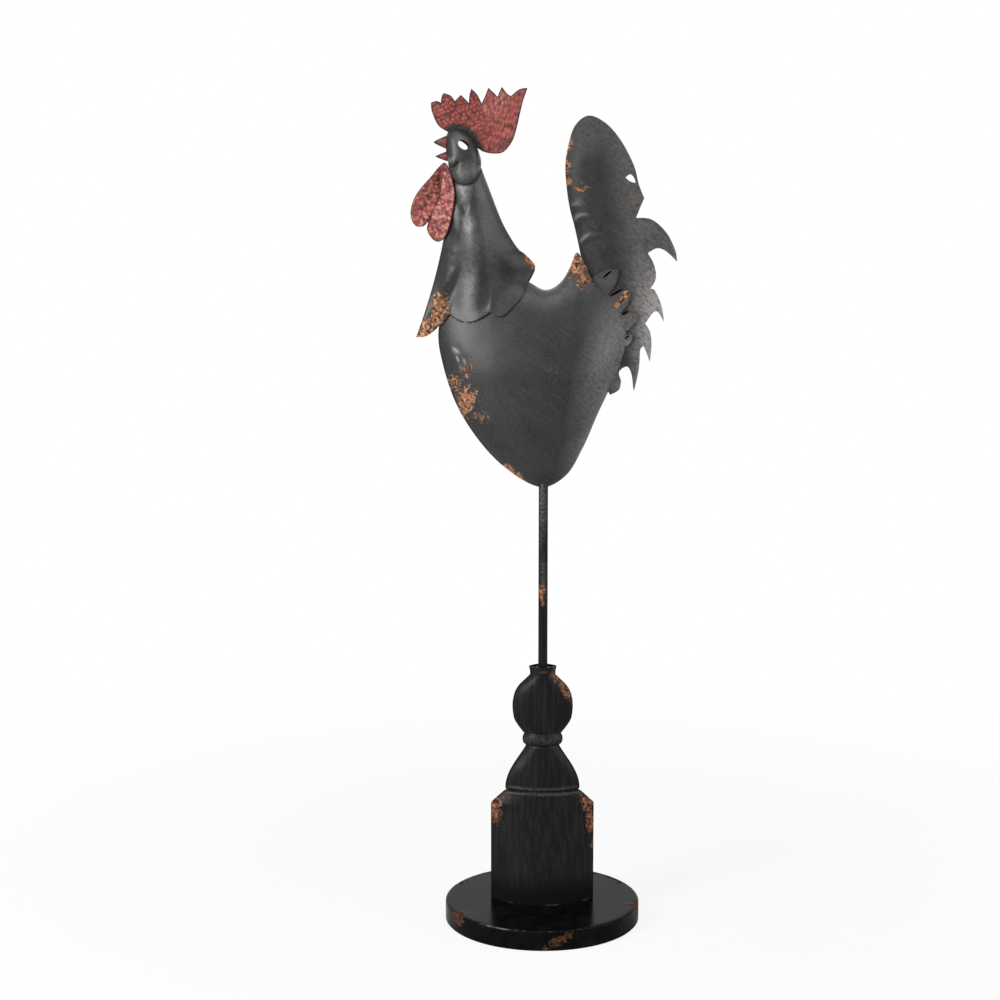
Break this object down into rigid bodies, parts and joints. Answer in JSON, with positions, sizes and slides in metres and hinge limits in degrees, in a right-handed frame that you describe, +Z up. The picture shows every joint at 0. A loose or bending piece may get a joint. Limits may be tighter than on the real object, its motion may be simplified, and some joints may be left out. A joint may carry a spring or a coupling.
{
  "type": "rooster statue",
  "caption": "Standing rooster of dished sheet steel with a scalloped cape, sickle tail and hammered comb, on a rod over a flattened finial and a round base.",
  "frame": {"origin": "centre of the base's underside, below the rod", "axes": "+Z up along the rod, the beak points to -X, the bird's left side faces -Y and the halves meet in the plane y = 0"},
  "size_m": [0.2237, 0.17, 0.725],
  "materials": {
    "black_paint": "satin charcoal black, rubbed through to rust in patches",
    "stand_paint": "satin black with faint upright brush marks and rust patches",
    "red_paint": "hammered brick red with dark pits and edges",
    "painted_board": "satin black, worn brown at the edge",
    "plain_steel": "plain zinc grey"
  },
  "bodies": {
    "root": {"base_disc": "painted_board", "finial_front": "stand_paint", "finial_back": "stand_paint", "finial_cap": "stand_paint", "support_rod": "stand_paint", "rod_washer": "plain_steel", "rod_nut": "plain_steel", "body_left": "black_paint", "body_right": "black_paint", "hackle_left": "black_paint", "hackle_right": "black_paint", "head_left": "black_paint", "head_right": "black_paint", "tail_left": "black_paint", "tail_right": "black_paint", "comb": "red_paint", "beak_upper": "red_paint", "beak_lower": "red_paint", "wattle_left": "red_paint", "wattle_right": "red_paint"}
  },
  "joints": []
}
